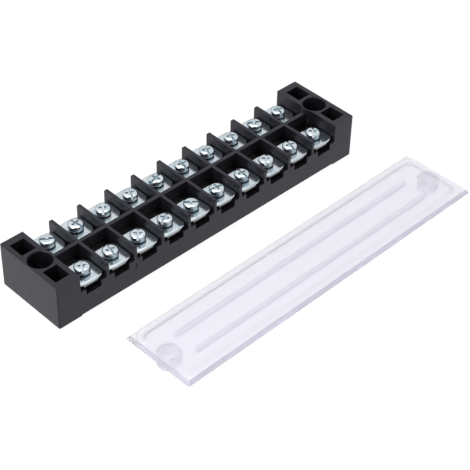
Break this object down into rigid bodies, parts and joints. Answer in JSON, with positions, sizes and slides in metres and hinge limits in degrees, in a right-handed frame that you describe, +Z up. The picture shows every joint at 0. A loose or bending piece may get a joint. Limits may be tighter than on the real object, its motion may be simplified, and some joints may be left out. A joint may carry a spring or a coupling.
{
  "type": "barrier terminal strip",
  "caption": "Barrier terminal strip: black moulded body with walled screw terminals front and rear, clamp plates, counterbored end mounts, and its clear peg-fit cover lying beside it.",
  "frame": {"origin": "midway between the two mounting holes, on the surface that the end blocks stand on", "axes": "+X along the strip, +Y across it from the front row of screws to the rear row, +Z up out of the cells; the cover lies on the -Y side"},
  "size_m": [0.1501, 0.0801, 0.0175],
  "materials": {
    "housing_plastic": "moulded black, slightly glossy",
    "cover_plastic": "polished clear",
    "bar_metal": "tin plated",
    "clamp_steel": "bright zinc plated",
    "screw_steel": "bright zinc plated"
  },
  "bodies": {
    "strip": {"housing": "housing_plastic", "contact_bar_1": "bar_metal", "contact_bar_2": "bar_metal", "contact_bar_3": "bar_metal", "contact_bar_4": "bar_metal", "contact_bar_5": "bar_metal", "contact_bar_6": "bar_metal", "contact_bar_7": "bar_metal", "contact_bar_8": "bar_metal", "contact_bar_9": "bar_metal", "contact_bar_10": "bar_metal"},
    "cover": {"cover": "cover_plastic"},
    "front_clamp_1": {"front_clamp_1": "clamp_steel"},
    "front_screw_1": {"front_screw_1": "screw_steel"},
    "front_clamp_2": {"front_clamp_2": "clamp_steel"},
    "front_screw_2": {"front_screw_2": "screw_steel"},
    "front_clamp_3": {"front_clamp_3": "clamp_steel"},
    "front_screw_3": {"front_screw_3": "screw_steel"},
    "front_clamp_4": {"front_clamp_4": "clamp_steel"},
    "front_screw_4": {"front_screw_4": "screw_steel"},
    "front_clamp_5": {"front_clamp_5": "clamp_steel"},
    "front_screw_5": {"front_screw_5": "screw_steel"},
    "front_clamp_6": {"front_clamp_6": "clamp_steel"},
    "front_screw_6": {"front_screw_6": "screw_steel"},
    "front_clamp_7": {"front_clamp_7": "clamp_steel"},
    "front_screw_7": {"front_screw_7": "screw_steel"},
    "front_clamp_8": {"front_clamp_8": "clamp_steel"},
    "front_screw_8": {"front_screw_8": "screw_steel"},
    "front_clamp_9": {"front_clamp_9": "clamp_steel"},
    "front_screw_9": {"front_screw_9": "screw_steel"},
    "front_clamp_10": {"front_clamp_10": "clamp_steel"},
    "front_screw_10": {"front_screw_10": "screw_steel"},
    "rear_clamp_1": {"rear_clamp_1": "clamp_steel"},
    "rear_screw_1": {"rear_screw_1": "screw_steel"},
    "rear_clamp_2": {"rear_clamp_2": "clamp_steel"},
    "rear_screw_2": {"rear_screw_2": "screw_steel"},
    "rear_clamp_3": {"rear_clamp_3": "clamp_steel"},
    "rear_screw_3": {"rear_screw_3": "screw_steel"},
    "rear_clamp_4": {"rear_clamp_4": "clamp_steel"},
    "rear_screw_4": {"rear_screw_4": "screw_steel"},
    "rear_clamp_5": {"rear_clamp_5": "clamp_steel"},
    "rear_screw_5": {"rear_screw_5": "screw_steel"},
    "rear_clamp_6": {"rear_clamp_6": "clamp_steel"},
    "rear_screw_6": {"rear_screw_6": "screw_steel"},
    "rear_clamp_7": {"rear_clamp_7": "clamp_steel"},
    "rear_screw_7": {"rear_screw_7": "screw_steel"},
    "rear_clamp_8": {"rear_clamp_8": "clamp_steel"},
    "rear_screw_8": {"rear_screw_8": "screw_steel"},
    "rear_clamp_9": {"rear_clamp_9": "clamp_steel"},
    "rear_screw_9": {"rear_screw_9": "screw_steel"},
    "rear_clamp_10": {"rear_clamp_10": "clamp_steel"},
    "rear_screw_10": {"rear_screw_10": "screw_steel"}
  },
  "joints": [
    {"name": "front_lift_1", "type": "slide", "parent": "strip", "child": "front_clamp_1", "axis": [0, 0, 1], "range_m": [0, 0.003]},
    {"name": "front_turn_1", "type": "hinge", "parent": "front_clamp_1", "child": "front_screw_1", "pos_m": [-0.05445, -0.0091, 0.013], "axis": [0, 0, 1], "range_deg": [0, 2170]},
    {"name": "front_lift_2", "type": "slide", "parent": "strip", "child": "front_clamp_2", "axis": [0, 0, 1], "range_m": [0, 0.003]},
    {"name": "front_turn_2", "type": "hinge", "parent": "front_clamp_2", "child": "front_screw_2", "pos_m": [-0.04235, -0.0091, 0.013], "axis": [0, 0, 1], "range_deg": [0, 2170]},
    {"name": "front_lift_3", "type": "slide", "parent": "strip", "child": "front_clamp_3", "axis": [0, 0, 1], "range_m": [0, 0.003]},
    {"name": "front_turn_3", "type": "hinge", "parent": "front_clamp_3", "child": "front_screw_3", "pos_m": [-0.03025, -0.0091, 0.013], "axis": [0, 0, 1], "range_deg": [0, 2170]},
    {"name": "front_lift_4", "type": "slide", "parent": "strip", "child": "front_clamp_4", "axis": [0, 0, 1], "range_m": [0, 0.003]},
    {"name": "front_turn_4", "type": "hinge", "parent": "front_clamp_4", "child": "front_screw_4", "pos_m": [-0.01815, -0.0091, 0.013], "axis": [0, 0, 1], "range_deg": [0, 2170]},
    {"name": "front_lift_5", "type": "slide", "parent": "strip", "child": "front_clamp_5", "axis": [0, 0, 1], "range_m": [0, 0.003]},
    {"name": "front_turn_5", "type": "hinge", "parent": "front_clamp_5", "child": "front_screw_5", "pos_m": [-0.00605, -0.0091, 0.013], "axis": [0, 0, 1], "range_deg": [0, 2170]},
    {"name": "front_lift_6", "type": "slide", "parent": "strip", "child": "front_clamp_6", "axis": [0, 0, 1], "range_m": [0, 0.003]},
    {"name": "front_turn_6", "type": "hinge", "parent": "front_clamp_6", "child": "front_screw_6", "pos_m": [0.00605, -0.0091, 0.013], "axis": [0, 0, 1], "range_deg": [0, 2170]},
    {"name": "front_lift_7", "type": "slide", "parent": "strip", "child": "front_clamp_7", "axis": [0, 0, 1], "range_m": [0, 0.003]},
    {"name": "front_turn_7", "type": "hinge", "parent": "front_clamp_7", "child": "front_screw_7", "pos_m": [0.01815, -0.0091, 0.013], "axis": [0, 0, 1], "range_deg": [0, 2170]},
    {"name": "front_lift_8", "type": "slide", "parent": "strip", "child": "front_clamp_8", "axis": [0, 0, 1], "range_m": [0, 0.003]},
    {"name": "front_turn_8", "type": "hinge", "parent": "front_clamp_8", "child": "front_screw_8", "pos_m": [0.03025, -0.0091, 0.013], "axis": [0, 0, 1], "range_deg": [0, 2170]},
    {"name": "front_lift_9", "type": "slide", "parent": "strip", "child": "front_clamp_9", "axis": [0, 0, 1], "range_m": [0, 0.003]},
    {"name": "front_turn_9", "type": "hinge", "parent": "front_clamp_9", "child": "front_screw_9", "pos_m": [0.04235, -0.0091, 0.013], "axis": [0, 0, 1], "range_deg": [0, 2170]},
    {"name": "front_lift_10", "type": "slide", "parent": "strip", "child": "front_clamp_10", "axis": [0, 0, 1], "range_m": [0, 0.003]},
    {"name": "front_turn_10", "type": "hinge", "parent": "front_clamp_10", "child": "front_screw_10", "pos_m": [0.05445, -0.0091, 0.013], "axis": [0, 0, 1], "range_deg": [0, 2170]},
    {"name": "rear_lift_1", "type": "slide", "parent": "strip", "child": "rear_clamp_1", "axis": [0, 0, 1], "range_m": [0, 0.003]},
    {"name": "rear_turn_1", "type": "hinge", "parent": "rear_clamp_1", "child": "rear_screw_1", "pos_m": [-0.05445, 0.0091, 0.013], "axis": [0, 0, 1], "range_deg": [0, 2170]},
    {"name": "rear_lift_2", "type": "slide", "parent": "strip", "child": "rear_clamp_2", "axis": [0, 0, 1], "range_m": [0, 0.003]},
    {"name": "rear_turn_2", "type": "hinge", "parent": "rear_clamp_2", "child": "rear_screw_2", "pos_m": [-0.04235, 0.0091, 0.013], "axis": [0, 0, 1], "range_deg": [0, 2170]},
    {"name": "rear_lift_3", "type": "slide", "parent": "strip", "child": "rear_clamp_3", "axis": [0, 0, 1], "range_m": [0, 0.003]},
    {"name": "rear_turn_3", "type": "hinge", "parent": "rear_clamp_3", "child": "rear_screw_3", "pos_m": [-0.03025, 0.0091, 0.013], "axis": [0, 0, 1], "range_deg": [0, 2170]},
    {"name": "rear_lift_4", "type": "slide", "parent": "strip", "child": "rear_clamp_4", "axis": [0, 0, 1], "range_m": [0, 0.003]},
    {"name": "rear_turn_4", "type": "hinge", "parent": "rear_clamp_4", "child": "rear_screw_4", "pos_m": [-0.01815, 0.0091, 0.013], "axis": [0, 0, 1], "range_deg": [0, 2170]},
    {"name": "rear_lift_5", "type": "slide", "parent": "strip", "child": "rear_clamp_5", "axis": [0, 0, 1], "range_m": [0, 0.003]},
    {"name": "rear_turn_5", "type": "hinge", "parent": "rear_clamp_5", "child": "rear_screw_5", "pos_m": [-0.00605, 0.0091, 0.013], "axis": [0, 0, 1], "range_deg": [0, 2170]},
    {"name": "rear_lift_6", "type": "slide", "parent": "strip", "child": "rear_clamp_6", "axis": [0, 0, 1], "range_m": [0, 0.003]},
    {"name": "rear_turn_6", "type": "hinge", "parent": "rear_clamp_6", "child": "rear_screw_6", "pos_m": [0.00605, 0.0091, 0.013], "axis": [0, 0, 1], "range_deg": [0, 2170]},
    {"name": "rear_lift_7", "type": "slide", "parent": "strip", "child": "rear_clamp_7", "axis": [0, 0, 1], "range_m": [0, 0.003]},
    {"name": "rear_turn_7", "type": "hinge", "parent": "rear_clamp_7", "child": "rear_screw_7", "pos_m": [0.01815, 0.0091, 0.013], "axis": [0, 0, 1], "range_deg": [0, 2170]},
    {"name": "rear_lift_8", "type": "slide", "parent": "strip", "child": "rear_clamp_8", "axis": [0, 0, 1], "range_m": [0, 0.003]},
    {"name": "rear_turn_8", "type": "hinge", "parent": "rear_clamp_8", "child": "rear_screw_8", "pos_m": [0.03025, 0.0091, 0.013], "axis": [0, 0, 1], "range_deg": [0, 2170]},
    {"name": "rear_lift_9", "type": "slide", "parent": "strip", "child": "rear_clamp_9", "axis": [0, 0, 1], "range_m": [0, 0.003]},
    {"name": "rear_turn_9", "type": "hinge", "parent": "rear_clamp_9", "child": "rear_screw_9", "pos_m": [0.04235, 0.0091, 0.013], "axis": [0, 0, 1], "range_deg": [0, 2170]},
    {"name": "rear_lift_10", "type": "slide", "parent": "strip", "child": "rear_clamp_10", "axis": [0, 0, 1], "range_m": [0, 0.003]},
    {"name": "rear_turn_10", "type": "hinge", "parent": "rear_clamp_10", "child": "rear_screw_10", "pos_m": [0.05445, 0.0091, 0.013], "axis": [0, 0, 1], "range_deg": [0, 2170]},
    {"name": "cover_lift", "type": "slide", "parent": "strip", "child": "cover", "axis": [0, 0, 1], "range_m": [0, 0.03]}
  ],
  "couplings": [
    {"joint": "front_turn_1", "follows": "front_lift_1", "rad_per_m": 12566},
    {"joint": "front_turn_2", "follows": "front_lift_2", "rad_per_m": 12566},
    {"joint": "front_turn_3", "follows": "front_lift_3", "rad_per_m": 12566},
    {"joint": "front_turn_4", "follows": "front_lift_4", "rad_per_m": 12566},
    {"joint": "front_turn_5", "follows": "front_lift_5", "rad_per_m": 12566},
    {"joint": "front_turn_6", "follows": "front_lift_6", "rad_per_m": 12566},
    {"joint": "front_turn_7", "follows": "front_lift_7", "rad_per_m": 12566},
    {"joint": "front_turn_8", "follows": "front_lift_8", "rad_per_m": 12566},
    {"joint": "front_turn_9", "follows": "front_lift_9", "rad_per_m": 12566},
    {"joint": "front_turn_10", "follows": "front_lift_10", "rad_per_m": 12566},
    {"joint": "rear_turn_1", "follows": "rear_lift_1", "rad_per_m": 12566},
    {"joint": "rear_turn_2", "follows": "rear_lift_2", "rad_per_m": 12566},
    {"joint": "rear_turn_3", "follows": "rear_lift_3", "rad_per_m": 12566},
    {"joint": "rear_turn_4", "follows": "rear_lift_4", "rad_per_m": 12566},
    {"joint": "rear_turn_5", "follows": "rear_lift_5", "rad_per_m": 12566},
    {"joint": "rear_turn_6", "follows": "rear_lift_6", "rad_per_m": 12566},
    {"joint": "rear_turn_7", "follows": "rear_lift_7", "rad_per_m": 12566},
    {"joint": "rear_turn_8", "follows": "rear_lift_8", "rad_per_m": 12566},
    {"joint": "rear_turn_9", "follows": "rear_lift_9", "rad_per_m": 12566},
    {"joint": "rear_turn_10", "follows": "rear_lift_10", "rad_per_m": 12566}
  ]
}
